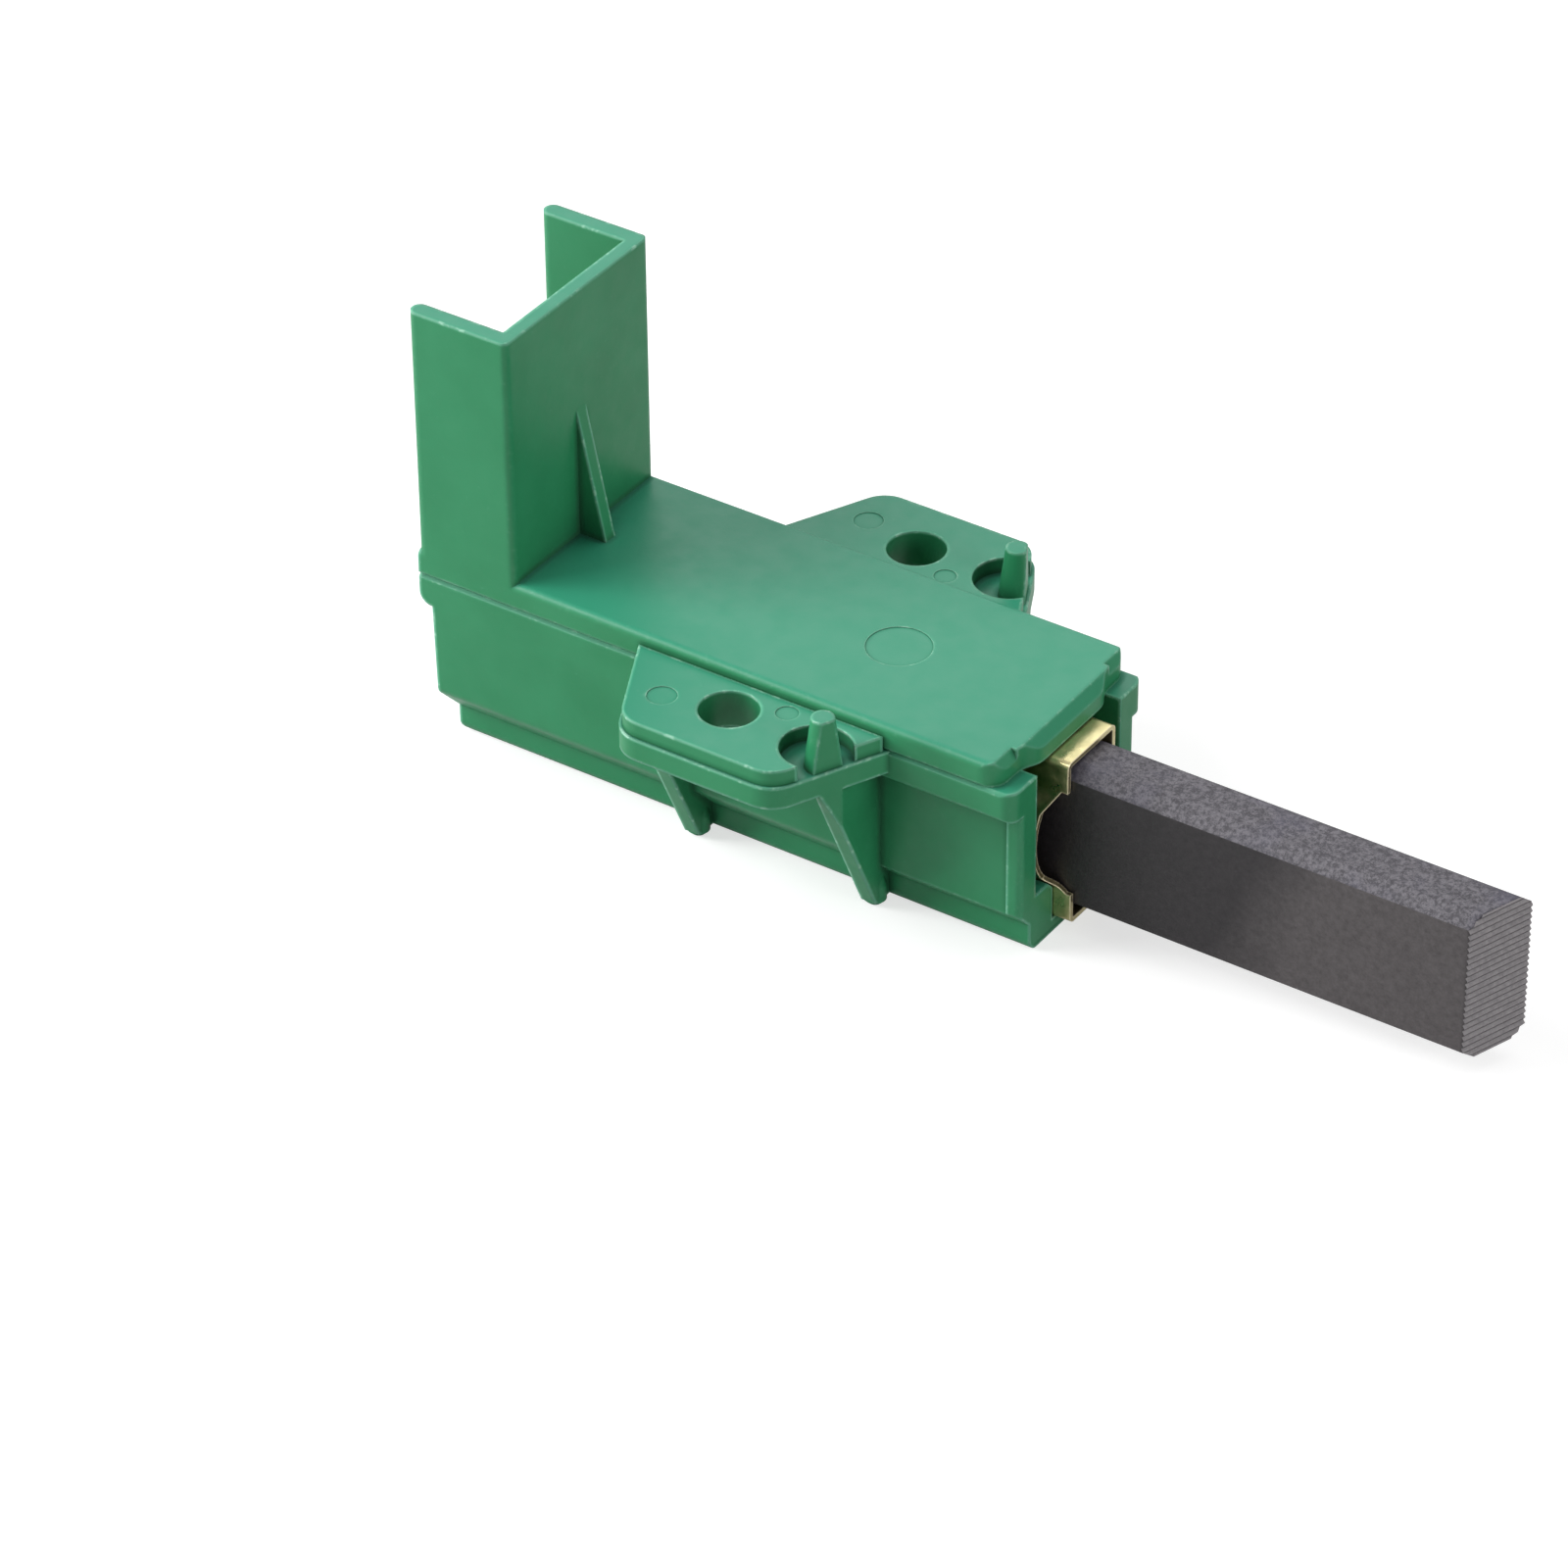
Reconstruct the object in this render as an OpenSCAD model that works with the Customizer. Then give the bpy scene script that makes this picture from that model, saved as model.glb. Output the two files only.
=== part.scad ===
// Carbon brush unit of a small commutator motor. A moulded case with two screw
// ears holds a brass guide tube, and a coil spring in the tube pushes the carbon
// out. A moulded cover closes the case from above and carries the connector
// shroud, in which the blade of the terminal stands.
//
// Frame: X runs forward along the carbon, Y across, Z up. The origin is midway
// between the two screw holes, on the underside of the ears.

/* [Case] */
// Length of the case from its rear rim to its front face
case_len = 48; // [44:0.5:56]
// Width across the rim of the case, and of the cover
case_w = 16.6; // [16:0.2:20]
// Height of the rim that runs round the open top
rim_h = 2.35; // [2:0.05:3.2]
// How far the rim overhangs the rear wall
rim_lip_rear = 1; // [0.6:0.05:1.4]
// Thickness of the rear wall behind the terminal plate
rear_wall = 0.8; // [0.7:0.05:1.6]
// Thickness of the floor under the guide tube
floor_t = 1.05; // [0.8:0.05:2]
// Width of the space for the round part of the guide tube
cavity_w = 10.4; // [10:0.1:11.4]
// Width of the foot that the case stands on
foot_w = 11.7; // [11:0.1:12.6]
// Height of the foot below the slanted underside of the walls
foot_h = 2.25; // [1.8:0.05:2.8]
// Height at which the side walls turn in, below the axis of the spring
turn_drop = 2.85; // [2.6:0.05:3.2]
// Radius that rounds the lower edges of the walls and the foot
case_round = 0.9; // [0.4:0.1:1]
// How far the front part of a side wall is sunk under the rim
panel_depth = 1.4; // [0.8:0.05:1.6]
// How far the collar stands out of the sunk wall
collar_step = 0.25; // [0.1:0.05:0.5]
// Length of the collar round the mouth
collar_len = 1.1; // [0.6:0.1:1.6]
// Radius of the rim's two upright front corners
rim_corner = 1.1; // [0.5:0.1:1.4]

/* [Ears] */
// Distance between the two screw holes
hole_spacing = 22.8; // [22.4:0.1:25]
// Diameter of a screw hole
hole_d = 4.2; // [3.2:0.1:4.6]
// Distance of the screw holes from the rear rim
hole_from_rear = 27.8; // [26:0.1:30]
// Thickness of an ear below the parting line
ear_low_t = 1.7; // [1.2:0.1:2.5]
// Thickness of an ear above the parting line
ear_high_t = 1.2; // [0.8:0.1:1.6]
// Length of an ear's root behind the screw hole
ear_back = 9.4; // [8.5:0.1:10.5]
// Length of an ear's root in front of the screw hole
ear_front = 10.3; // [9.8:0.1:11]
// How far an ear reaches out beyond the screw hole
ear_reach = 4.7; // [4:0.1:6]
// How much each slanted edge draws in from root to outer edge
ear_slant = 3.8; // [3:0.1:4.4]
// Radius of an ear's outer corners
ear_round = 2.2; // [1:0.1:2.6]
// How far the lower layer stands out past the upper one
ear_step = 0.25; // [0.1:0.05:0.5]
// Radius of the round pocket cut through the upper layer
pocket_r = 2.5; // [2.2:0.1:2.8]
// Distance of the pocket in front of the screw hole
pocket_x = 7.2; // [6.9:0.1:7.6]
// How far the pocket lies outward of the screw hole
pocket_out = 0.4; // [0:0.05:0.6]
// Distance of the gate post in front of the screw hole
post_x = 7.8; // [7.4:0.1:8.1]
// How far the gate post stands outward of the screw hole
post_out = 0.5; // [0:0.05:0.8]
// Height of the gate post above the ear
post_rise = 2.7; // [1:0.1:4]
// Radius of the gate post at its top
post_r = 0.8; // [0.6:0.05:1.1]
// How much wider the gate post is at its foot
post_taper = 0.5; // [0.2:0.05:0.6]
// Thickness of a gusset under an ear
gusset_t = 1.2; // [0.8:0.1:2]
// Distance from the screw hole back to the rear gusset
gusset_back = 6; // [5:0.1:6.6]
// Distance from the screw hole forward to the front gusset
gusset_front = 8.4; // [7.2:0.1:8.8]
// How far a gusset reaches out past the screw hole
gusset_out = 1.6; // [0.5:0.05:2.2]

/* [Cover] */
// Thickness of the cover plate
cover_t = 1.95; // [1.5:0.05:2.6]
// How far the plate's front corners stay behind the case's front face
cover_back = 1.25; // [1.1:0.05:2]
// How far the middle tongue of the plate reaches forward
tongue_len = 0.7; // [0.4:0.05:1.1]
// Width of the tongue at its front
tongue_w = 6.7; // [5:0.1:8]
// Distance over which each side of the tongue swings out
tongue_sweep = 2.4; // [1.6:0.1:2.8]
// Radius of the plate's two upright front corners
cover_corner = 1.5; // [0.6:0.1:1.6]
// Width of the slope along the plate's front edge
slope_w = 0.45; // [0.3:0.05:0.75]
// Width of the slope along the tongue's front edge
tongue_slope_w = 0.65; // [0.4:0.05:1.1]
// Height of both slopes
slope_h = 0.8; // [0.4:0.05:1.2]
// Radius that rounds the plate's top edges
cover_round = 0.5; // [0.3:0.05:0.7]
// Radius of the round mark on the plate
mark_r = 2.3; // [1.5:0.1:3]

/* [Shroud] */
// Height of the connector shroud above the plate
shroud_h = 19.2; // [12:0.1:24]
// Depth of the shroud from its rear edge to its front face
shroud_d = 8.1; // [7.6:0.1:9.5]
// Thickness of the shroud's front web
web_t = 1.1; // [0.8:0.05:1.4]
// Thickness of the shroud's two side flanges
flange_t = 1.3; // [1:0.05:2]
// Height of the rib that stiffens the web
rib_h = 10; // [4:0.5:12]
// Depth of the rib on the plate
rib_d = 2.15; // [1:0.05:4]
// Thickness of the rib
rib_t = 1.1; // [0.6:0.1:2]
// Length of the slot that the terminal stands in
slot_len = 10.6; // [7:0.1:11]
// Clearance between the terminal and the rear and front of the slot
slot_gap = 0.3; // [0.1:0.05:0.4]

/* [Carbon] */
// Thickness of the carbon
carbon_t = 5; // [4.5:0.1:5.2]
// Height of the carbon
carbon_h = 11.5; // [10.6:0.1:12]
// Length of the carbon along its shorter side
carbon_len = 38; // [34:0.5:42]
// How far the shorter side stands out of the case, fully out
carbon_out = 31; // [26:0.5:33]
// Angle at which the tip is cut, seen from above
tip_angle = 20; // [0:1:30]
// Chamfer of the long edges, measured across
edge_across = 1; // [0.5:0.1:1.5]
// Chamfer of the long edges, measured up the side
edge_up = 0.8; // [0.4:0.1:1.5]
// Number of fine ridges on the running face
ridge_count = 24; // [10:1:36]
// Depth of a ridge
ridge_depth = 0.14; // [0.05:0.01:0.3]

/* [Guide tube] */
// Thickness of the brass sheet
sheet_t = 0.35; // [0.3:0.05:0.5]
// Clearance on each side of the carbon
slide_gap = 0.1; // [0.05:0.01:0.2]
// Clearance above and below the carbon
lift_gap = 0.35; // [0.1:0.05:0.5]
// Radius where the flat channel runs into the round sides, outside
knee_r = 0.8; // [0.5:0.05:1]
// Clearance between the guide tube and the case or cover
tube_gap = 0.1; // [0.05:0.01:0.15]
// How far the top of the tube stands out of the case
tube_out_top = 1; // [0.5:0.1:2]
// How far the bottom of the tube stands out of the case
tube_out_bottom = 1.35; // [0.5:0.05:2.5]
// How far the round sides stay behind the case's front face
tube_side_back = 0.45; // [0:0.05:1]

/* [Spring] */
// Outer diameter of the spring
spring_d = 8.3; // [7:0.1:8.6]
// Diameter of the spring wire
wire_d = 0.5; // [0.4:0.05:0.8]
// Number of turns
spring_turns = 14; // [8:1:16]
// Clearance between the spring and the round part of the tube
spring_gap = 0.25; // [0.15:0.05:0.5]

/* [Shunt and terminal] */
// Diameter of the braided copper shunt
shunt_d = 1.6; // [1:0.1:2.2]
// Diameter of the rammed copper plug in the carbon
plug_d = 3; // [2.4:0.1:3.6]
// Depth of the rammed copper plug
plug_len = 6; // [3:0.5:9]
// Width of the terminal blade
blade_w = 6.3; // [4.8:0.1:6.3]
// Thickness of the terminal strip
blade_t = 0.8; // [0.5:0.05:0.9]
// Height of the terminal blade above the cover plate
blade_h = 7.8; // [6:0.1:10]
// Diameter of the hole in the blade
blade_hole_d = 1.6; // [1:0.1:2]
// Distance of that hole from the blade's end
blade_hole_down = 3.6; // [2.5:0.1:4.5]

/* [Hidden] */
$fn = 48;
eps = 0.01;

// Depth of the parting groove round the seam and of the moulded marks
seam_groove = 0.2;
mark_depth = 0.05;
mark_x = 6;
// Radii of the two round marks on each ear and their places from the hole
ear_marks = [[-4.65, 1.1, 1.05], [3.45, -1.75, 0.8]];
// How far the walls lean in from the rim to the foot
draft = 0.15;
// Radius that rounds the rim's lower edge
rim_round = 0.5;
// Radius of the collar's upright edges
collar_round = 0.5;
// Radius and height of the round tip below each gusset, and the chamfer under it
tip_r = 0.8;
tip_h = 1.5;
tip_chamfer = 0.3;
// Height of a gusset's lower end above the foot
gusset_end = 0.4;
// How far a piece that is one with its neighbour reaches into it
sink = 0.05;
// How far the cradle's floor lies below the height where the walls turn in
cradle_drop = 0.4;
// Clearance between the cover's side and the ears' upper layer
cover_gap = 0.15;
// Face-to-face clearance of the pieces that rest on each other inside
rest_gap = 0.05;
// Thickness and depth of the cover's two locating ribs, and how far they stay
// behind the front of the plate and in front of the terminal
locator_t = 1;
locator_h = 0.9;
locator_back = 3;
locator_front = 1;
// Inside radius of the bends along the tube's channel
bend_r = 0.15;
// Height over which the tube's mouth steps back, above and below the carbon,
// and the length of each step's corner
mouth_high = 1.6;
mouth_low = 1.2;
mouth_high_corner = 0.5;
mouth_low_corner = 0.4;
// Radius of the terminal plate's corners and chamfer at the end of the blade
plate_round = 0.6;
blade_chamfer = 0.95;
// Sides of the spring's wire and rings in each turn
wire_sides = 6;
turn_steps = 18;

// Places along X
rear_x = -hole_from_rear;
front_x = rear_x + case_len;
plate_rear_x = rear_x + rim_lip_rear + rear_wall;
tube_rear_x = plate_rear_x + blade_t;
tip_x = front_x + carbon_out;
carbon_rear_x = tip_x - carbon_len;
cover_front_x = front_x - cover_back;
shroud_x = rear_x + shroud_d;

// The guide tube's section
bore_t = carbon_t + 2 * slide_gap;
bore_h = carbon_h + 2 * lift_gap;
tube_t = bore_t + 2 * sheet_t;
tube_h = bore_h + 2 * sheet_t;
round_r = spring_d / 2 + spring_gap;
tube_r = round_r + sheet_t;
knee_y = tube_t / 2 + knee_r;
knee_z = sqrt(pow(tube_r + knee_r, 2) - pow(knee_y, 2));

// Heights
seam_z = ear_low_t;
ear_top_z = seam_z + ear_high_t;
cover_top_z = seam_z + cover_t;
axis_z = seam_z - tube_gap - rest_gap - tube_h / 2;
floor_z = axis_z - tube_h / 2 - rest_gap;
bottom_z = floor_z - floor_t;
turn_z = axis_z - turn_drop;
foot_z = bottom_z + foot_h;
cavity_floor_z = turn_z - cradle_drop;
rim_low_z = seam_z - rim_h;
slope_z = cover_top_z - slope_h;

// Widths
rim_y = case_w / 2;
foot_y = foot_w / 2;
panel_y = rim_y - panel_depth;
collar_y = panel_y + collar_step;
hole_y = hole_spacing / 2;
ear_y = hole_y + ear_reach;
gusset_y = hole_y + gusset_out;
tongue_y = tongue_w / 2;
tongue_root_y = tongue_y + tongue_sweep;

// Turns a drawing so that its x runs along Y and its y up Z, and extrudes it
// from x0 to x1 along X
module along_x(x0, x1) {
    translate([x0, 0, 0]) rotate([90, 0, 90]) linear_extrude(x1 - x0) children();
}

// The same for a drawing of X and Z, extruded from y0 to y1 along Y
module along_y(y0, y1) {
    translate([0, y1, 0]) rotate([90, 0, 0]) linear_extrude(y1 - y0) children();
}

// Both sides of the middle plane
module both_sides() {
    children();
    mirror([0, 1, 0]) children();
}

// The centre of the arc of radius r that rounds the corner b between a and c
function unit(v) = v / norm(v);
function corner_turn(a, b, c) = acos(unit(a - b) * unit(c - b)) / 2;
function arc_centre(a, b, c, r) =
    b + unit(unit(a - b) + unit(c - b)) * r / sin(corner_turn(a, b, c));
function arc_start(a, b, c, r) = b + unit(a - b) * r / tan(corner_turn(a, b, c));

// A convex outline whose corner i has the radius radii[i]
module rounded_outline(points, radii) {
    n = len(points);
    function prev(i) = points[(i + n - 1) % n];
    function next(i) = points[(i + 1) % n];
    polygon([
        for (i = [0:n - 1])
            each radii[i] == 0 ? [points[i]] : [
                arc_start(prev(i), points[i], next(i), radii[i]),
                arc_start(next(i), points[i], prev(i), radii[i])
            ]
    ]);
    for (i = [0:n - 1])
        if (radii[i] > 0)
            translate(arc_centre(prev(i), points[i], next(i), radii[i])) circle(radii[i]);
}

// A rectangle from low to high with four equal rounded corners
module rounded_box(low, high, r) {
    rounded_outline([low, [high[0], low[1]], high, [low[0], high[1]]], [r, r, r, r]);
}

// Section of the case across the brush: the walls turn in below the tube's
// round sides, and the foot is narrower
module case_section() {
    r = case_round;
    rounded_outline(
        [
            [-foot_y, foot_z], [foot_y, foot_z], [rim_y - draft, turn_z],
            [rim_y, seam_z - seam_groove], [-rim_y, seam_z - seam_groove], [draft - rim_y, turn_z]
        ],
        [0, 0, r, 0, 0, r]
    );
    polygon([
        [-rim_y, seam_z - seam_groove - eps], [rim_y, seam_z - seam_groove - eps],
        [rim_y - seam_groove, seam_z], [seam_groove - rim_y, seam_z]
    ]);
    rounded_outline(
        [[-foot_y, foot_z + eps], [-foot_y, bottom_z], [foot_y, bottom_z], [foot_y, foot_z + eps]],
        [0, r, r, 0]
    );
}

// Side view of the case: the rear wall stands back under the rim
module case_side() {
    wall_x = rear_x + rim_lip_rear;
    rounded_outline(
        [[rear_x, rim_low_z], [front_x, rim_low_z], [front_x, seam_z + 1], [rear_x, seam_z + 1]],
        [rim_lip_rear - sink, 0, 0, 0]
    );
    rounded_outline(
        [[wall_x, rim_low_z + 1], [wall_x + draft, bottom_z], [front_x, bottom_z], [front_x, rim_low_z + 1]],
        [0, case_round, 0, 0]
    );
}

// Plan of the case at its rim
module case_plan() {
    rounded_outline(
        [[rear_x, -rim_y], [front_x, -rim_y], [front_x, rim_y], [rear_x, rim_y]],
        [0, rim_corner, rim_corner, 0]
    );
}

// Plan of the front part below the rim: the sunk wall and the collar
module front_plan() {
    collar_x = front_x - collar_len;
    r = collar_round;
    translate([gusset_front, -panel_y]) square([collar_x + eps - gusset_front, 2 * panel_y]);
    rounded_outline(
        [[collar_x, -collar_y], [front_x, -collar_y], [front_x, collar_y], [collar_x, collar_y]],
        [0, r, r, 0]
    );
}

// What the mould leaves out in front of the front gussets, under the rim
module front_waste() {
    y = rim_y - rim_round;
    translate([0, 0, bottom_z - 1]) linear_extrude(rim_low_z - bottom_z + 1) difference() {
        translate([gusset_front, -case_w]) square([case_len, 2 * case_w]);
        front_plan();
    }
    // The rim's rounded lower edge
    both_sides() along_x(gusset_front, front_x + 1) translate([y, rim_low_z]) difference() {
        translate([0, -eps]) square([rim_round + eps, rim_round + eps]);
        translate([0, rim_round]) circle(rim_round);
    }
}

// The space inside: a wide part for the round sides of the tube, a cradle
// below them, and a narrow channel down to the floor
module cavity_section() {
    translate([-cavity_w / 2, cavity_floor_z]) square([cavity_w, seam_z - cavity_floor_z + 1]);
    translate([0, axis_z]) {
        circle(tube_r + tube_gap);
        knee_fillets(sheet_t + tube_gap);
    }
    translate([-tube_t / 2 - tube_gap, floor_z]) square([tube_t + 2 * tube_gap, axis_z - floor_z]);
}

// Outline of one ear on the +Y side. grow is how far it stands out, inner is
// where it ends towards the middle
module ear_outline(grow, inner) {
    lean = ear_slant / (ear_y - rim_y);
    back = -ear_back - grow + lean * (inner - rim_y);
    front = ear_front + grow - lean * (inner - rim_y);
    out = ear_y + grow;
    rounded_outline(
        [
            [back, inner], [front, inner],
            [ear_front + grow - lean * (out - rim_y), out], [lean * (out - rim_y) - ear_back - grow, out]
        ],
        [0, 0, ear_round + grow, ear_round + grow]
    );
}

module ear_layers() {
    linear_extrude(seam_z) ear_outline(ear_step, cavity_w / 2 + 1);
    translate([0, 0, seam_z - eps]) linear_extrude(ear_high_t + eps)
        ear_outline(0, rim_y + cover_gap);
}

// The tapered post left by the mould's gate, cut flush with the slanted edge
module gate_post() {
    post_h = ear_high_t + post_rise;
    intersection() {
        translate([post_x, hole_y + post_out, seam_z - eps])
            cylinder(r1 = post_r + post_taper, r2 = post_r, h = post_h + eps);
        translate([0, 0, seam_z - 1]) linear_extrude(post_h + 2) ear_outline(0, rim_y + cover_gap);
    }
}

// A gusset: an upright plate that tapers down to a round tip beside the foot
module gusset(x) {
    inner_y = foot_y - 1;
    tip_y = foot_y + tip_r - sink;
    low_z = bottom_z + gusset_end;
    intersection() {
        along_x(x - gusset_t / 2, x + gusset_t / 2)
            polygon([[inner_y, eps], [gusset_y, eps], [tip_y + tip_r, low_z], [inner_y, low_z]]);
        translate([0, 0, bottom_z]) linear_extrude(1 - bottom_z) ear_outline(ear_step, inner_y - 1);
    }
    translate([x, tip_y, 0]) rotate_extrude() polygon([
        [0, bottom_z], [tip_r - tip_chamfer, bottom_z], [tip_r, bottom_z + tip_chamfer],
        [tip_r, bottom_z + tip_h], [tip_r / 2, bottom_z + 2 * tip_h], [0, bottom_z + 2 * tip_h]
    ]);
}

module case() {
    color("mediumseagreen") difference() {
        union() {
            difference() {
                intersection() {
                    along_x(rear_x, front_x) case_section();
                    along_y(-case_w, case_w) case_side();
                    translate([0, 0, bottom_z - 1]) linear_extrude(case_w * 2) case_plan();
                }
                front_waste();
            }
            both_sides() {
                ear_layers();
                gusset(-gusset_back);
                gusset(gusset_front);
            }
        }
        // The space for the guide tube, open at the top and the front
        along_x(tube_rear_x - eps, front_x + 1) cavity_section();
        // The pocket for the terminal plate
        translate([plate_rear_x, -cavity_w / 2, cavity_floor_z])
            cube([blade_t + 1, cavity_w, seam_z - cavity_floor_z + 1]);
        both_sides() {
            translate([0, hole_y, -1]) cylinder(d = hole_d, h = ear_top_z + 2);
            translate([pocket_x, hole_y + pocket_out, seam_z]) cylinder(r = pocket_r, h = ear_high_t + 1);
            for (mark = ear_marks)
                translate([mark[0], hole_y + mark[1], ear_top_z - mark_depth]) cylinder(r = mark[2], h = 1);
        }
    }
    color("mediumseagreen") both_sides() gate_post();
}

// Section of the cover plate across the brush
module cover_section() {
    rounded_outline(
        [
            [seam_groove - rim_y, seam_z], [rim_y - seam_groove, seam_z], [rim_y, seam_z + seam_groove],
            [rim_y, cover_top_z], [-rim_y, cover_top_z], [-rim_y, seam_z + seam_groove]
        ],
        [0, 0, 0, cover_round, cover_round, 0]
    );
}

// Side view of the plate, whose front edge at end slopes at the top
module cover_side(end, slope) {
    polygon([
        [rear_x, seam_z], [end, seam_z], [end, slope_z],
        [end - slope, cover_top_z], [rear_x, cover_top_z]
    ]);
}

// Plan of the tongue, whose sides swing out in two arcs that meet halfway
module tongue_plan() {
    turn = 2 * atan(tongue_len / tongue_sweep);
    r = tongue_sweep / 2 / sin(turn);
    steps = 4;
    front = cover_front_x + tongue_len;
    side = concat(
        [
            for (i = [0:steps])
                let (a = turn * i / steps) [front - r + r * cos(a), tongue_y + r * sin(a)]
        ],
        [
            for (i = [steps - 1:-1:0])
                let (a = turn * i / steps) [cover_front_x + r - r * cos(a), tongue_root_y - r * sin(a)]
        ]
    );
    polygon([
        for (p = side) p,
        [cover_front_x - 2, tongue_root_y], [cover_front_x - 2, -tongue_root_y],
        for (i = [len(side) - 1:-1:0]) [side[i][0], -side[i][1]]
    ]);
}

module cover_plate() {
    intersection() {
        along_x(rear_x, front_x) cover_section();
        along_y(-case_w, case_w) cover_side(cover_front_x, slope_w);
        translate([0, 0, seam_z - 1]) linear_extrude(cover_t + 2) rounded_outline(
            [[rear_x, -rim_y], [cover_front_x, -rim_y], [cover_front_x, rim_y], [rear_x, rim_y]],
            [0, cover_corner, cover_corner, 0]
        );
    }
    intersection() {
        translate([0, 0, seam_z]) linear_extrude(cover_t) tongue_plan();
        along_y(-case_w, case_w) cover_side(cover_front_x + tongue_len, tongue_slope_w);
    }
}

// Plan of the shroud: a channel open to the rear, with rounded flange ends
module shroud_plan() {
    end_r = flange_t / 2;
    both_sides() {
        translate([rear_x + end_r, rim_y - flange_t]) square([shroud_d - end_r - cover_round, flange_t]);
        translate([rear_x + end_r, rim_y - end_r]) circle(end_r);
    }
    rounded_outline(
        [[shroud_x - web_t, -rim_y], [shroud_x, -rim_y], [shroud_x, rim_y], [shroud_x - web_t, rim_y]],
        [0, cover_round, cover_round, 0]
    );
}

module shroud() {
    translate([0, 0, seam_z + cover_t / 2]) linear_extrude(cover_t / 2 + shroud_h) shroud_plan();
    // The rib in front of the web
    along_y(-rib_t / 2, rib_t / 2) polygon([
        [shroud_x - web_t / 2, cover_top_z - eps], [shroud_x + rib_d, cover_top_z - eps],
        [shroud_x, cover_top_z + rib_h], [shroud_x - web_t / 2, cover_top_z + rib_h]
    ]);
}

module cover() {
    locator_y = cavity_w / 2 - tube_gap - locator_t;
    locator_len = cover_front_x - locator_back - tube_rear_x - locator_front;
    slot_w = blade_t + 2 * slot_gap;
    color("seagreen") difference() {
        union() {
            cover_plate();
            shroud();
            both_sides() translate([tube_rear_x + locator_front, locator_y, seam_z - locator_h])
                cube([locator_len, locator_t, locator_h + cover_t / 2]);
        }
        translate([plate_rear_x - slot_gap, -slot_len / 2, seam_z - 1])
            cube([slot_w, slot_len, cover_t + 1 + eps]);
        translate([mark_x, 0, cover_top_z - mark_depth]) cylinder(r = mark_r, h = 1);
    }
}

// Rounds the four knees where the channel runs into the tube's round sides.
// The ends reach a hair into both, so that no gap is left
module knee_fillets(wall) {
    r = knee_r + sheet_t - wall;
    turn = atan(knee_z / knee_y);
    steps = 6;
    inset = 2 * eps;
    arc = [
        for (i = [0:steps])
            let (a = 180 + turn * (1 - i / steps))
            [knee_y + r * cos(a), knee_z + r * sin(a)]
    ];
    knee = concat(
        [arc[0] * (1 - inset / norm(arc[0]))],
        [for (i = [1:steps - 1]) arc[i]],
        [arc[steps] - [inset, 0]]
    );
    polygon([
        for (p = knee) p,
        for (i = [steps:-1:0]) [-knee[i][0], knee[i][1]],
        for (p = knee) -p,
        for (i = [steps:-1:0]) [knee[i][0], -knee[i][1]]
    ]);
}

// Section of the guide tube: a flat channel for the carbon and two round
// sides for the spring. wall is 0 on the inside
module tube_section(wall) {
    r = wall + bend_r;
    translate([0, axis_z]) {
        circle(round_r + wall);
        knee_fillets(wall);
        rounded_box(
            [-bore_t / 2 - wall, -bore_h / 2 - wall], [bore_t / 2 + wall, bore_h / 2 + wall], r
        );
    }
}

module guide_tube() {
    top_end = front_x + tube_out_top;
    low_end = front_x + tube_out_bottom;
    side_end = front_x - tube_side_back;
    color("goldenrod") difference() {
        along_x(tube_rear_x, low_end) tube_section(sheet_t);
        along_x(tube_rear_x - 1, low_end + 1) tube_section(0);
        // The mouth: the sides stay back, and the top is shorter than the bottom
        along_y(-case_w, case_w) polygon([
            [low_end + 1, axis_z - knee_z], [low_end - mouth_low_corner, axis_z - knee_z],
            [side_end, axis_z - knee_z + mouth_low], [side_end, axis_z + knee_z - mouth_high],
            [top_end - mouth_high_corner, axis_z + knee_z], [top_end, axis_z + knee_z],
            [top_end, seam_z + 1], [low_end + 1, seam_z + 1]
        ]);
    }
}

// The terminal: a plate behind the spring whose neck rises through the
// cover's slot into a blade
module terminal() {
    plate_w = cavity_w - 2 * tube_gap;
    blade_top = cover_top_z + blade_h;
    color("gold") along_x(plate_rear_x, tube_rear_x) difference() {
        union() {
            rounded_box(
                [-plate_w / 2, cavity_floor_z], [plate_w / 2, seam_z - rest_gap], plate_round
            );
            polygon([
                [-blade_w / 2, seam_z - 2], [blade_w / 2, seam_z - 2], [blade_w / 2, blade_top - blade_chamfer],
                [blade_w / 2 - blade_chamfer, blade_top], [blade_chamfer - blade_w / 2, blade_top],
                [-blade_w / 2, blade_top - blade_chamfer]
            ]);
        }
        translate([0, blade_top - blade_hole_down]) circle(d = blade_hole_d);
    }
}

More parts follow.
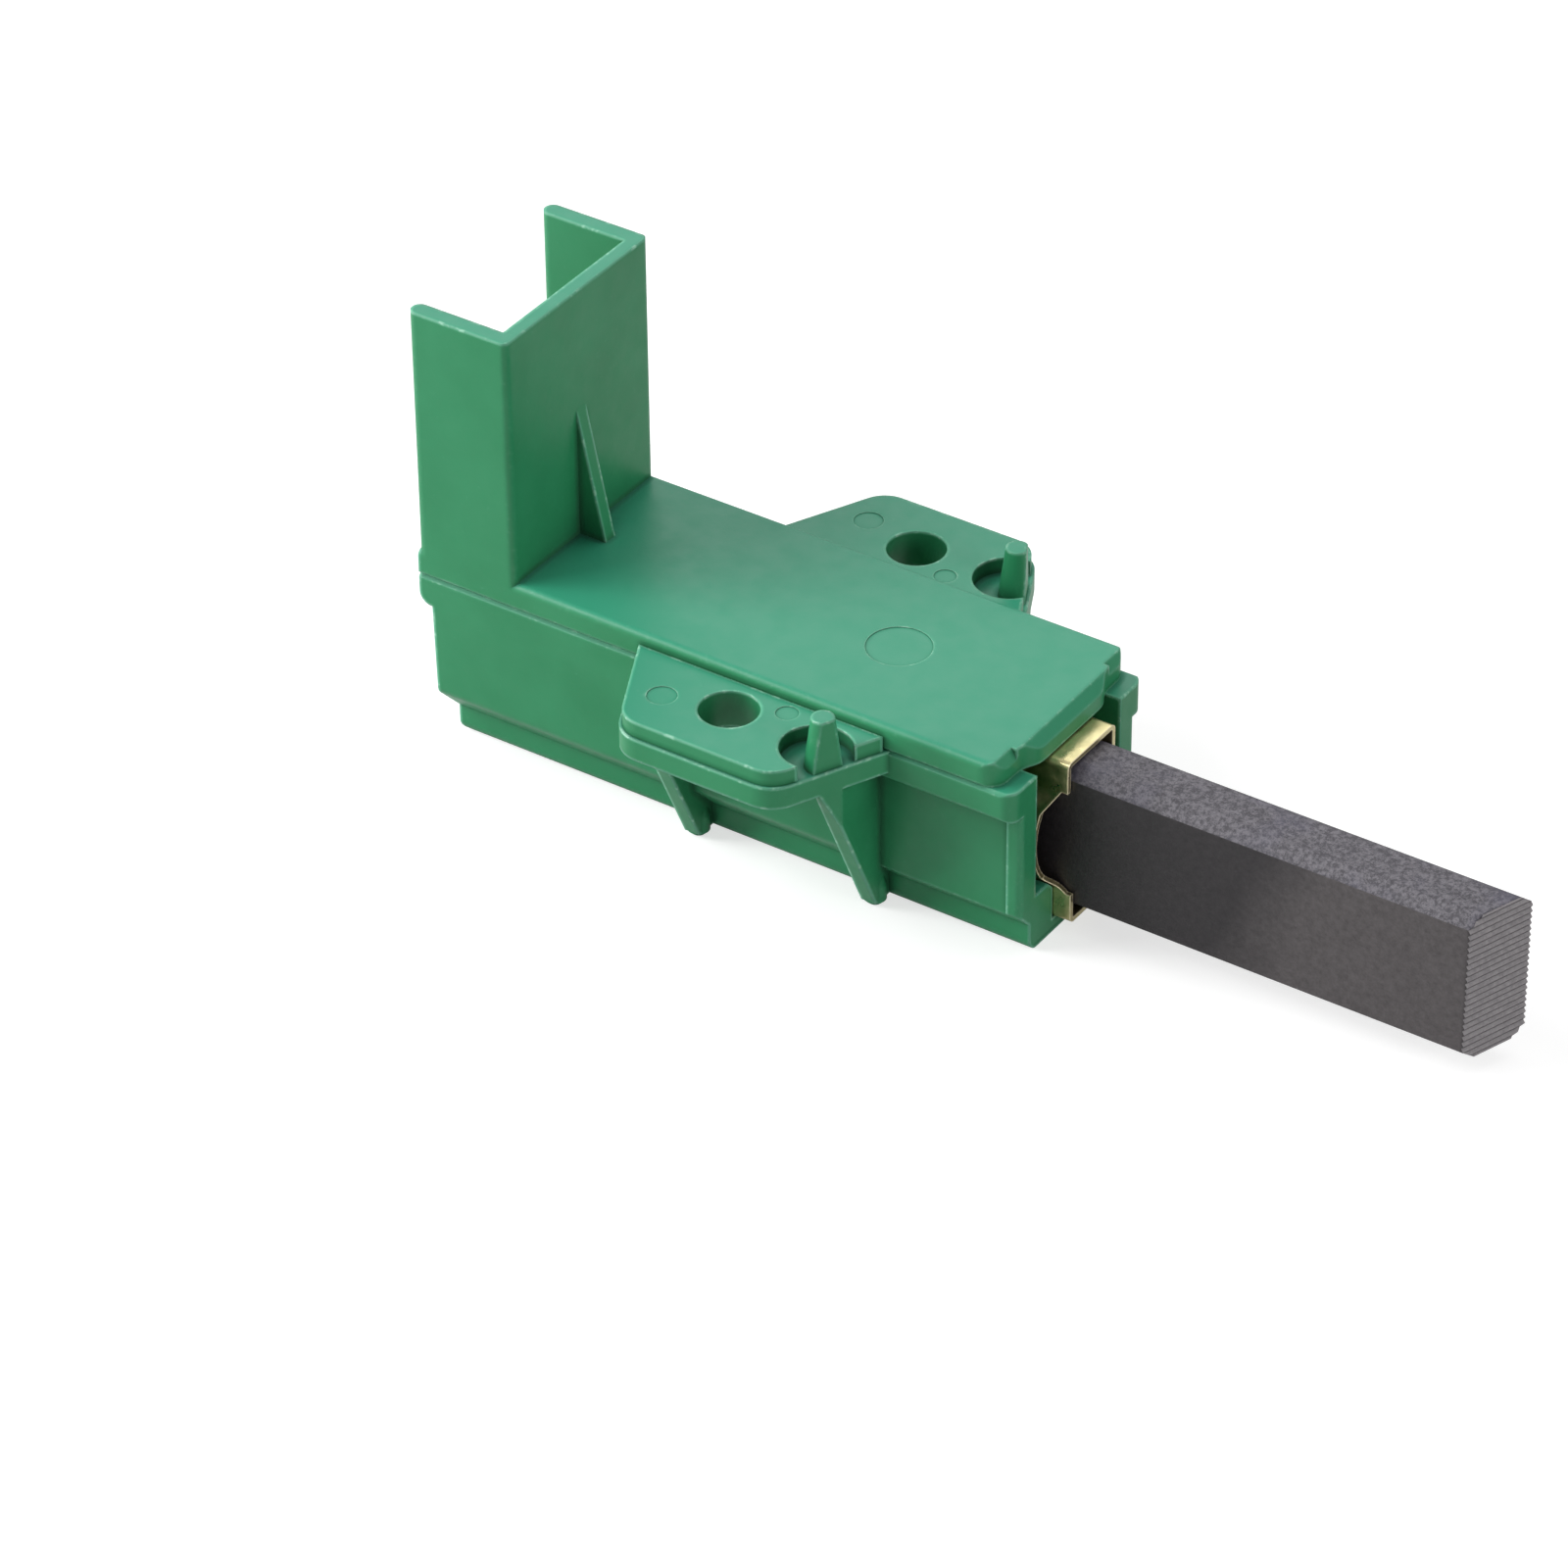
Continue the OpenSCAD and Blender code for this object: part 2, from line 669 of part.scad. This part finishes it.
// The coil spring. Its first and last turns are closed
module spring() {
    coil_r = spring_d / 2 - wire_d / 2;
    start = tube_rear_x + rest_gap + wire_d / 2;
    travel = carbon_rear_x - tube_rear_x - 2 * rest_gap - wire_d;
    steps = spring_turns * turn_steps;
    open_pitch = (travel - 2 * wire_d) / (spring_turns - 2);
    function along(t) =
        t < 1 ? t * wire_d
        : t > spring_turns - 1 ? travel - (spring_turns - t) * wire_d
        : wire_d + (t - 1) * open_pitch;
    rings = [
        for (i = [0:steps])
            let (t = i / turn_steps, a = 360 * t)
            [
                for (k = [0:wire_sides - 1])
                    let (b = 360 * k / wire_sides, r = coil_r + wire_d / 2 * cos(b))
                    [start + along(t) + wire_d / 2 * sin(b), r * cos(a), axis_z + r * sin(a)]
            ]
    ];
    faces = concat(
        [[for (k = [0:wire_sides - 1]) k]],
        [
            for (i = [0:steps - 1], k = [0:wire_sides - 1])
                let (a = i * wire_sides, n = (k + 1) % wire_sides)
                each [[a + k, a + wire_sides + n, a + n], [a + k, a + wire_sides + k, a + wire_sides + n]]
        ],
        [[for (k = [wire_sides - 1:-1:0]) steps * wire_sides + k]]
    );
    color("lightsteelblue") polyhedron([for (ring = rings) each ring], faces);
}

// The flexible copper shunt from the terminal plate to the carbon
module shunt() {
    color("chocolate") along_x(tube_rear_x, carbon_rear_x) translate([0, axis_z]) circle(d = shunt_d);
}

// Section of the carbon with its chamfered long edges
module carbon_section() {
    y = carbon_t / 2;
    z = carbon_h / 2;
    translate([0, axis_z]) polygon([
        [-y, edge_up - z], [edge_across - y, -z], [y - edge_across, -z], [y, edge_up - z],
        [y, z - edge_up], [y - edge_across, z], [edge_across - y, z], [-y, z - edge_up]
    ]);
}

// Everything in front of the ridged running face, which is square to the cut
module tip_cut() {
    pitch = carbon_h / ridge_count;
    reach = 4 * carbon_t;
    translate([tip_x, -carbon_t / 2, axis_z]) rotate([0, 0, -tip_angle])
        along_y(-reach, reach) polygon(concat(
            [[reach, -carbon_h], [reach, carbon_h], [0, carbon_h]],
            [
                for (i = [ridge_count:-1:0], side = [1, 0])
                    [side * ridge_depth * -1, pitch * (i - ridge_count / 2 + (side - 0.5) * 0.5)]
            ],
            [[0, -carbon_h]]
        ));
}

module carbon() {
    color("dimgray") difference() {
        along_x(carbon_rear_x, tip_x + carbon_t) carbon_section();
        tip_cut();
        translate([carbon_rear_x - eps, 0, axis_z]) rotate([0, 90, 0])
            cylinder(d = plug_d, h = plug_len + eps);
    }
}

module copper_plug() {
    color("peru") translate([carbon_rear_x, 0, axis_z]) rotate([0, 90, 0])
        cylinder(d = plug_d, h = plug_len);
}

case();
cover();
guide_tube();
terminal();
spring();
shunt();
carbon();
copper_plug();
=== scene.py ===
"""Looks of the carbon brush unit: materials, camera, floor and light.

The solids come from the CAD model and keep their shape. Only the spring and the
shunt are replaced, by copies hung on the holder body. The frame's origin is midway
between the two screw holes, +X runs along the carbon and +Z is up. Lengths are in
metres and colours in linear RGB.
"""

import math

import bpy
from mathutils import Matrix, Vector

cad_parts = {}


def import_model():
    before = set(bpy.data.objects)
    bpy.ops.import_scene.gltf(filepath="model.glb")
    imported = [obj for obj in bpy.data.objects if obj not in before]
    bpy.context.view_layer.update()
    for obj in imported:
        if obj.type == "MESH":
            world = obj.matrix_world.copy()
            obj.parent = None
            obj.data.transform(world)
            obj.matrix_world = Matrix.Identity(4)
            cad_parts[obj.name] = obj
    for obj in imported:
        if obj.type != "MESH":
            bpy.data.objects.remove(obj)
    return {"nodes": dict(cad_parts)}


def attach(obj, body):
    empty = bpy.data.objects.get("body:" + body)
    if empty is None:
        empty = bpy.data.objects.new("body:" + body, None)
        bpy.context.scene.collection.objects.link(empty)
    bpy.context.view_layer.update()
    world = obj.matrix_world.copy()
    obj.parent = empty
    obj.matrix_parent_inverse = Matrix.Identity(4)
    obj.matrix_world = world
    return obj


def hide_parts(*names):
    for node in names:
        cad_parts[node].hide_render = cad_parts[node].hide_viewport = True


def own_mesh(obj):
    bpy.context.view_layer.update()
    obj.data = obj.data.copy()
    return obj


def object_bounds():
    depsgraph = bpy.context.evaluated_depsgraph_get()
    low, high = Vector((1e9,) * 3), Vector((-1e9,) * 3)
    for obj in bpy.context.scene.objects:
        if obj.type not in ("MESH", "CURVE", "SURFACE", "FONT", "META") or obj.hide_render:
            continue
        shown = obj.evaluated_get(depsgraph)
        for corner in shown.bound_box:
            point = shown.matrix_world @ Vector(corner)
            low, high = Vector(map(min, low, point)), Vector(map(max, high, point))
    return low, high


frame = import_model()
cad_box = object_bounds()
nodes = frame["nodes"]

MM = 0.001
BLACK, WHITE = (0, 0, 0), (1, 1, 1)


# Materials
class Shader:
    """A material or world under construction, with short calls for its nodes.

    Noise scales are in features per metre.
    """

    COLOUR_MIX = {"factor": 0, "a": 6, "b": 7, "result": 2}
    VECTOR_MIX = {"factor": 0, "a": 4, "b": 5, "result": 1}

    def __init__(self, made, output="ShaderNodeOutputMaterial"):
        made.use_nodes = True
        self.material = made
        self.tree = made.node_tree
        self.tree.nodes.clear()
        self.out = self.node(output)

    def node(self, kind, **settings):
        made = self.tree.nodes.new(kind)
        for name, value in settings.items():
            setattr(made, name, value)
        return made

    def link(self, source, target):
        self.tree.links.new(source, target)

    def principled(self, **sockets):
        """The main shader. A value that is linked over stays set as the socket's default.
        """
        made = self.node("ShaderNodeBsdfPrincipled")
        for name, value in sockets.items():
            made.inputs[name.replace("_", " ")].default_value = value
        self.link(made.outputs[0], self.out.inputs["Surface"])
        return made

    def place(self):
        """The point of the surface in the frame of its CAD node."""
        return self.node("ShaderNodeTexCoord").outputs["Object"]

    def normal(self):
        """The true normal of the surface, with no bump or rounding."""
        return self.node("ShaderNodeNewGeometry").outputs["Normal"]

    def rounded_normal(self, radius, samples):
        """The normal as if sharp edges were rounded by radius."""
        bevel = self.node("ShaderNodeBevel", samples=samples)
        bevel.inputs["Radius"].default_value = radius
        return bevel.outputs["Normal"]

    def noise(self, scale, detail=3, roughness=0.55):
        made = self.node("ShaderNodeTexNoise")
        made.inputs["Scale"].default_value = scale
        made.inputs["Detail"].default_value = detail
        made.inputs["Roughness"].default_value = roughness
        self.link(self.place(), made.inputs["Vector"])
        return made.outputs["Fac"]

    def ramp(self, factor, *stops):
        """stops are (position, value or colour)."""
        made = self.node("ShaderNodeValToRGB")
        while len(made.color_ramp.elements) < len(stops):
            made.color_ramp.elements.new(0.5)
        for element, (position, value) in zip(made.color_ramp.elements, stops):
            element.position = position
            colour = value if isinstance(value, tuple) else (value, value, value)
            element.color = (*colour, 1)
        self.link(factor, made.inputs["Fac"])
        return made.outputs["Color"]

    def mix(self, factor, a, b, blend="MIX"):
        """Colour a with b laid over it. factor, a and b are sockets or values."""
        at = self.COLOUR_MIX
        made = self.node("ShaderNodeMix", data_type="RGBA", blend_type=blend)
        for index, value in ((at["factor"], factor), (at["a"], a), (at["b"], b)):
            if isinstance(value, bpy.types.NodeSocket):
                self.link(value, made.inputs[index])
            else:
                plain = (*value, 1) if isinstance(value, tuple) else value
                made.inputs[index].default_value = plain
        return made.outputs[at["result"]]

    def sum(self, *heights):
        """Adds up heights, each (socket, factor)."""
        total = None
        for socket, factor in heights:
            step = self.node("ShaderNodeMath", operation="MULTIPLY_ADD")
            self.link(socket, step.inputs[0])
            step.inputs[1].default_value = factor
            step.inputs[2].default_value = 0
            if total is not None:
                self.link(total, step.inputs[2])
            total = step.outputs[0]
        return total

    def dot(self, a, b):
        """The dot product of socket a and b, a socket or a vector."""
        made = self.node("ShaderNodeVectorMath", operation="DOT_PRODUCT")
        self.link(a, made.inputs[0])
        if isinstance(b, bpy.types.NodeSocket):
            self.link(b, made.inputs[1])
        else:
            made.inputs[1].default_value = b
        return made.outputs["Value"]

    def edges(self, radius):
        """1 within about radius of a sharp edge, 0 on flat faces."""
        turned = self.node("ShaderNodeMath", operation="SUBTRACT")
        turned.inputs[0].default_value = 1
        same_way = self.dot(self.rounded_normal(radius, samples=6), self.normal())
        self.link(same_way, turned.inputs[1])
        return self.ramp(turned.outputs[0], (0.02, 0.0), (0.10, 1.0))

    def open_to(self, distance, **settings):
        """The share of rays that leave the surface and meet nothing within distance.

        With inside=True the rays go into the solid, and few are free near an outer
        edge.
        """
        around = self.node("ShaderNodeAmbientOcclusion", samples=6, **settings)
        around.inputs["Distance"].default_value = distance
        return around.outputs["AO"]

    def along(self, direction, low, high, wobble):
        """Rises from 0 to 1 as the point moves along direction, from low to high.

        Patches of noise move that border by up to half of wobble.
        """
        patches = self.noise(250)
        way = self.sum((patches, wobble), (self.dot(self.place(), direction), 1.0))
        step = self.node("ShaderNodeMapRange")
        self.link(way, step.inputs["Value"])
        step.inputs["From Min"].default_value = low + wobble / 2
        step.inputs["From Max"].default_value = high + wobble / 2
        return step.outputs["Result"]

    def facing(self, axis, low, high):
        """Rises from 0 to 1 as a face turns towards +axis, from low to high."""
        split = self.node("ShaderNodeSeparateXYZ")
        self.link(self.normal(), split.inputs[0])
        return self.ramp(split.outputs[axis], (low, 0.0), (high, 1.0))

    def relief(self, bsdf, height, depth, strength, edge=0.0, where=None):
        """Bumps bsdf by height times depth.

        Edges are rounded by edge, or if where is given only those where it is 1.
        """
        bump = self.node("ShaderNodeBump")
        bump.inputs["Strength"].default_value = strength
        bump.inputs["Distance"].default_value = depth
        self.link(height, bump.inputs["Height"])
        if edge:
            normal = self.rounded_normal(edge, samples=8)
            if where is not None:
                at = self.VECTOR_MIX
                partly = self.node("ShaderNodeMix", data_type="VECTOR")
                self.link(where, partly.inputs[at["factor"]])
                self.link(self.normal(), partly.inputs[at["a"]])
                self.link(normal, partly.inputs[at["b"]])
                normal = partly.outputs[at["result"]]
            self.link(normal, bump.inputs["Normal"])
        self.link(bump.outputs[0], bsdf.inputs["Normal"])


def green_plastic():
    """Moulded nylon: painted cool sheen on top, pale edges of wear and painted highlight,
    painted shade in corners and holes.
    """
    side_dark, side_light = (0.018, 0.222, 0.088), (0.032, 0.274, 0.120)
    # top is the side colour with a painted cool sheen, for faces turned up
    top, speck = (0.032, 0.290, 0.170), (0.10, 0.38, 0.24)
    wear_and_highlight, nicked = (0.15, 0.48, 0.31), (0.38, 0.72, 0.54)
    corner_shade, hole_shade = 0.68, 0.42
    corner_roughness = (0.70, 0.70, 0.70)
    wear_width, rounding = 0.24 * MM, 0.40 * MM
    corner_reach, hole_reach = 0.5 * MM, 5.0 * MM
    grain_depth = 0.04 * MM

    s = Shader(bpy.data.materials.new("green_plastic"))
    bsdf = s.principled(Roughness=0.38, IOR=1.42)
    side = s.ramp(s.noise(130, 4), (0.30, side_dark), (0.75, side_light))
    # Painted sheen: faces turned up take the cooler, paler top colour.
    body = s.mix(s.facing("Z", 0.3, 0.95), side, top)
    specks = s.ramp(s.noise(2200, 2, 0.7), (0.66, 0.0), (0.80, 0.18))
    colour = s.mix(specks, body, speck)

    inwards = s.open_to(wear_width, inside=True, only_local=True)
    edge = s.ramp(inwards, (0.70, 0.85), (0.95, 0.0))
    clear = s.ramp(s.open_to(corner_reach), (0.80, 0.0), (0.95, 1.0))
    outer = s.mix(edge, clear, WHITE)
    # Pale convex edges: partly wear, partly a painted highlight.
    colour = s.mix(edge, colour, wear_and_highlight)
    nicks = s.ramp(s.noise(1100, 3, 0.7), (0.54, 0.0), (0.64, 0.9))
    colour = s.mix(s.mix(nicks, BLACK, edge), colour, nicked)

    corners = s.ramp(outer, (0.0, corner_shade), (1.0, 1.0))
    room = s.open_to(hole_reach, only_local=True)
    holes = s.ramp(room, (0.30, hole_shade), (0.62, 1.0))
    for shade in (corners, holes):
        colour = s.mix(1.0, colour, shade, "MULTIPLY")
    s.link(colour, bsdf.inputs["Base Color"])

    sheen = s.ramp(s.noise(700), (0.3, 0.34), (0.7, 0.44))
    s.link(s.mix(outer, corner_roughness, sheen), bsdf.inputs["Roughness"])
    grain = s.sum((s.noise(2200, 2), 0.6), (s.noise(300, 2), 2.0))
    s.relief(bsdf, grain, grain_depth, 0.25, edge=rounding, where=outer)
    return s.material


def brass():
    """Rolled brass, unevenly bright, with pale sheared edges that are partly a painted
    glint.
    """
    dull, bright, shear_and_glint = (0.52, 0.45, 0.22), (0.76, 0.68, 0.38), (1.0, 0.88, 0.60)
    sheared_metallic, sheared_roughness = (0.35, 0.35, 0.35), (0.45, 0.45, 0.45)
    sheared_width, rounding = 0.18 * MM, 0.10 * MM
    dent_depth = 0.05 * MM

    s = Shader(bpy.data.materials.new("brass"))
    bsdf = s.principled(Metallic=1.0, Roughness=0.3)
    tone = s.ramp(s.noise(420, 4, 0.6), (0.3, dull), (0.7, bright))
    cut = s.edges(sheared_width)
    # Pale edges: a fresh cut, partly a painted glint.
    s.link(s.mix(cut, tone, shear_and_glint), bsdf.inputs["Base Color"])
    s.link(s.mix(cut, WHITE, sheared_metallic), bsdf.inputs["Metallic"])
    sheen = s.ramp(s.noise(700, 3, 0.6), (0.3, 0.24), (0.75, 0.46))
    s.link(s.mix(cut, sheen, sheared_roughness), bsdf.inputs["Roughness"])
    dents = s.sum((s.noise(600), 1.0), (s.noise(1600, 2), 0.4))
    s.relief(bsdf, dents, dent_depth, 0.6, edge=rounding)
    return s.material


def carbon():
    """Pressed graphite: the top is rough; the sides carry painted shade near the case, and
    the ridges painted light and shade.
    """
    # Painted shade: the sides are darker on the part nearer the case, up to a wobbly
    # border.
    case_shade_dark, case_shade_light = (0.018, 0.016, 0.018), (0.034, 0.030, 0.033)
    free_dark, free_light = (0.062, 0.055, 0.057), (0.108, 0.098, 0.101)
    top_dark, top_light = (0.062, 0.058, 0.068), (0.172, 0.163, 0.182)
    violet = (0.100, 0.096, 0.145)
    ridge_painted_shade, ridge_painted_light = (0.075, 0.069, 0.073), (0.340, 0.319, 0.330)
    ridge_worn = (0.170, 0.158, 0.166)
    border, border_from, border_to = (1, 0, -0.38), 35.5 * MM, 41.0 * MM
    border_wobble = 3 * MM
    grain_depth, rounding = 0.07 * MM, 0.50 * MM

    s = Shader(bpy.data.materials.new("carbon"))
    bsdf = s.principled(Roughness=0.5, IOR=1.42)
    top_face = s.facing("Z", 0.2, 0.8)
    running_face = s.facing("X", 0.4, 0.6)
    fine = s.noise(2600, 4, 0.7)

    case_shaded_side = s.ramp(fine, (0.3, case_shade_dark), (0.75, case_shade_light))
    free = s.ramp(fine, (0.3, free_dark), (0.75, free_light))
    outside = s.along(border, border_from, border_to, border_wobble)
    side = s.mix(outside, case_shaded_side, free)
    grit = s.ramp(s.noise(3000, 4, 0.8), (0.42, top_dark), (0.60, top_light))
    patches = s.ramp(s.noise(160), (0.48, 0.0), (0.66, 0.4))
    top = s.mix(patches, grit, violet)
    # Painted light and shade: ridge flanks facing up are lighter, those facing down
    # darker.
    painted_ridge_shading = s.mix(s.facing("Z", -0.3, 0.3), ridge_painted_shade, ridge_painted_light)
    running = s.mix(s.ramp(fine, (0.35, 0.0), (0.65, 0.6)), painted_ridge_shading, ridge_worn)
    colour = s.mix(running_face, s.mix(top_face, side, top), running)
    s.link(colour, bsdf.inputs["Base Color"])

    s.link(s.ramp(top_face, (0.0, 0.42), (1.0, 0.62)), bsdf.inputs["Roughness"])
    height = s.sum((fine, 0.5), (s.noise(800), 1.0))
    plain_face = s.ramp(running_face, (0.0, 1.0), (1.0, 0.0))
    s.relief(bsdf, height, grain_depth, 0.6, edge=rounding, where=plain_face)
    return s.material


def bare_metal(name, colour, roughness, grain, depth, strength):
    """Plain metal in one colour with a fine grain, for the hidden pieces."""
    s = Shader(bpy.data.materials.new(name))
    bsdf = s.principled(Metallic=1.0, Roughness=roughness, Base_Color=(*colour, 1))
    s.relief(bsdf, s.noise(grain, 2), depth, strength)
    return s.material


def dress(material, *names):
    for name in names:
        slots = nodes[name].data.materials
        slots.clear()
        slots.append(material)


copper = bare_metal("copper", (0.80, 0.38, 0.22), 0.4, 3000, 0.1 * MM, 0.8)
spring_steel = bare_metal("spring_steel", (0.55, 0.55, 0.57), 0.3, 1500, 0.02 * MM, 0.3)
dress(green_plastic(), "case", "cover")
dress(brass(), "guide_tube", "terminal")
dress(carbon(), "carbon")
dress(copper, "shunt", "copper_plug")
dress(spring_steel, "spring")


def pressed(name):
    """A copy of a CAD node, hung on the holder body in place of the hidden node."""
    piece = nodes[name].copy()
    piece.data = nodes[name].data.copy()
    piece.name = name + "_pressed"
    bpy.context.scene.collection.objects.link(piece)
    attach(piece, "holder")
    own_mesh(piece)
    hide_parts(name)


pressed("spring")
pressed("shunt")


# Camera, fitted to the photograph
AIM = Vector((-3.416, 0.0, -11.428)) * MM
AZIMUTH, ELEVATION, ROLL = 34.206, 35.820, -0.596
DISTANCE = 472.53 * MM
LENS, SENSOR = 157.848, 36.0
CLIP = (0.01, 10)


def place_camera():
    a, e = math.radians(AZIMUTH), math.radians(ELEVATION)
    back = Vector((math.sin(a) * math.cos(e), -math.cos(a) * math.cos(e), math.sin(e)))
    right = Vector((math.cos(a), math.sin(a), 0.0))
    up = back.cross(right)
    turn = Matrix((right, up, back)).transposed()
    turn = turn @ Matrix.Rotation(math.radians(ROLL), 3, "Z")
    data = bpy.data.cameras.new("camera")
    data.lens = LENS
    data.sensor_width = data.sensor_height = SENSOR
    data.clip_start, data.clip_end = CLIP
    camera = bpy.data.objects.new("camera", data)
    camera.matrix_world = Matrix.Translation(AIM + back * DISTANCE) @ turn.to_4x4()
    bpy.context.scene.collection.objects.link(camera)
    bpy.context.scene.camera = camera


place_camera()


# Floor and light
FLOOR_SIZE = 8
FLOOR_GREY = 0.52
FLOOR_GLOW = 0.66  # makes the lit floor white to the camera, but not its shadow
SKY_LIGHT, SKY_SHOWN = 0.26, 1.0
GLOSS = 0.4  # how much of the white backdrop is seen in gloss
LAMP_AIM = Vector((0.01, 0, 0))
LAMPS = (  # name, place, size, watts
    ("key", (-0.55, -0.37, 0.52), (0.5, 0.4), 5.0),
    ("side", (-0.46, -0.26, 0.13), (0.16, 0.16), 1.6),
    ("top", (0.10, 0.22, 0.85), (0.7, 0.6), 2.1),
    ("back", (-0.40, 0.60, 0.50), (0.6, 0.4), 1.2),
    ("fill", (0.75, -0.08, 0.25), (0.3, 0.3), 1.5),
)


def backdrop(shader, lit, shown):
    """lit for the light on the object, shown for the camera, between in gloss."""
    path = shader.node("ShaderNodeLightPath")
    gloss = shader.node("ShaderNodeMath", operation="MULTIPLY")
    shader.link(path.outputs["Is Glossy Ray"], gloss.inputs[0])
    gloss.inputs[1].default_value = GLOSS
    seen = gloss.outputs[0]
    for name in ("Is Camera Ray", "Is Transmission Ray"):
        either = shader.node("ShaderNodeMath", operation="MAXIMUM")
        shader.link(seen, either.inputs[0])
        shader.link(path.outputs[name], either.inputs[1])
        seen = either.outputs[0]
    return shader.ramp(seen, (0.0, lit), (1.0, shown))


def floor():
    """A pale table that keeps the shadow and looks almost white."""
    s = Shader(bpy.data.materials.new("floor"))
    diffuse = s.node("ShaderNodeBsdfDiffuse")
    diffuse.inputs["Color"].default_value = (FLOOR_GREY, FLOOR_GREY, FLOOR_GREY, 1)
    glow = s.node("ShaderNodeEmission")
    s.link(backdrop(s, 0.0, FLOOR_GLOW), glow.inputs["Strength"])
    add = s.node("ShaderNodeAddShader")
    s.link(diffuse.outputs[0], add.inputs[0])
    s.link(glow.outputs[0], add.inputs[1])
    s.link(add.outputs[0], s.out.inputs["Surface"])
    bpy.ops.mesh.primitive_plane_add(size=FLOOR_SIZE, location=(0, 0, cad_box[0][2]))
    plane = bpy.context.object
    plane.name = "floor"
    plane.data.materials.append(s.material)


def world():
    s = Shader(bpy.data.worlds.new("studio"), "ShaderNodeOutputWorld")
    background = s.node("ShaderNodeBackground")
    background.inputs["Color"].default_value = (*WHITE, 1)
    s.link(backdrop(s, SKY_LIGHT, SKY_SHOWN), background.inputs["Strength"])
    s.link(background.outputs[0], s.out.inputs["Surface"])
    bpy.context.scene.world = s.material


def softbox(name, place, size, watts):
    data = bpy.data.lights.new(name, "AREA")
    data.shape = "RECTANGLE"
    data.size, data.size_y = size
    data.energy = watts
    lamp = bpy.data.objects.new(name, data)
    lamp.location = place
    lamp.rotation_euler = (LAMP_AIM - Vector(place)).to_track_quat("-Z", "Y").to_euler()
    bpy.context.scene.collection.objects.link(lamp)


floor()
world()
for lamp_values in LAMPS:
    softbox(*lamp_values)
bpy.context.scene.view_settings.view_transform = "Standard"
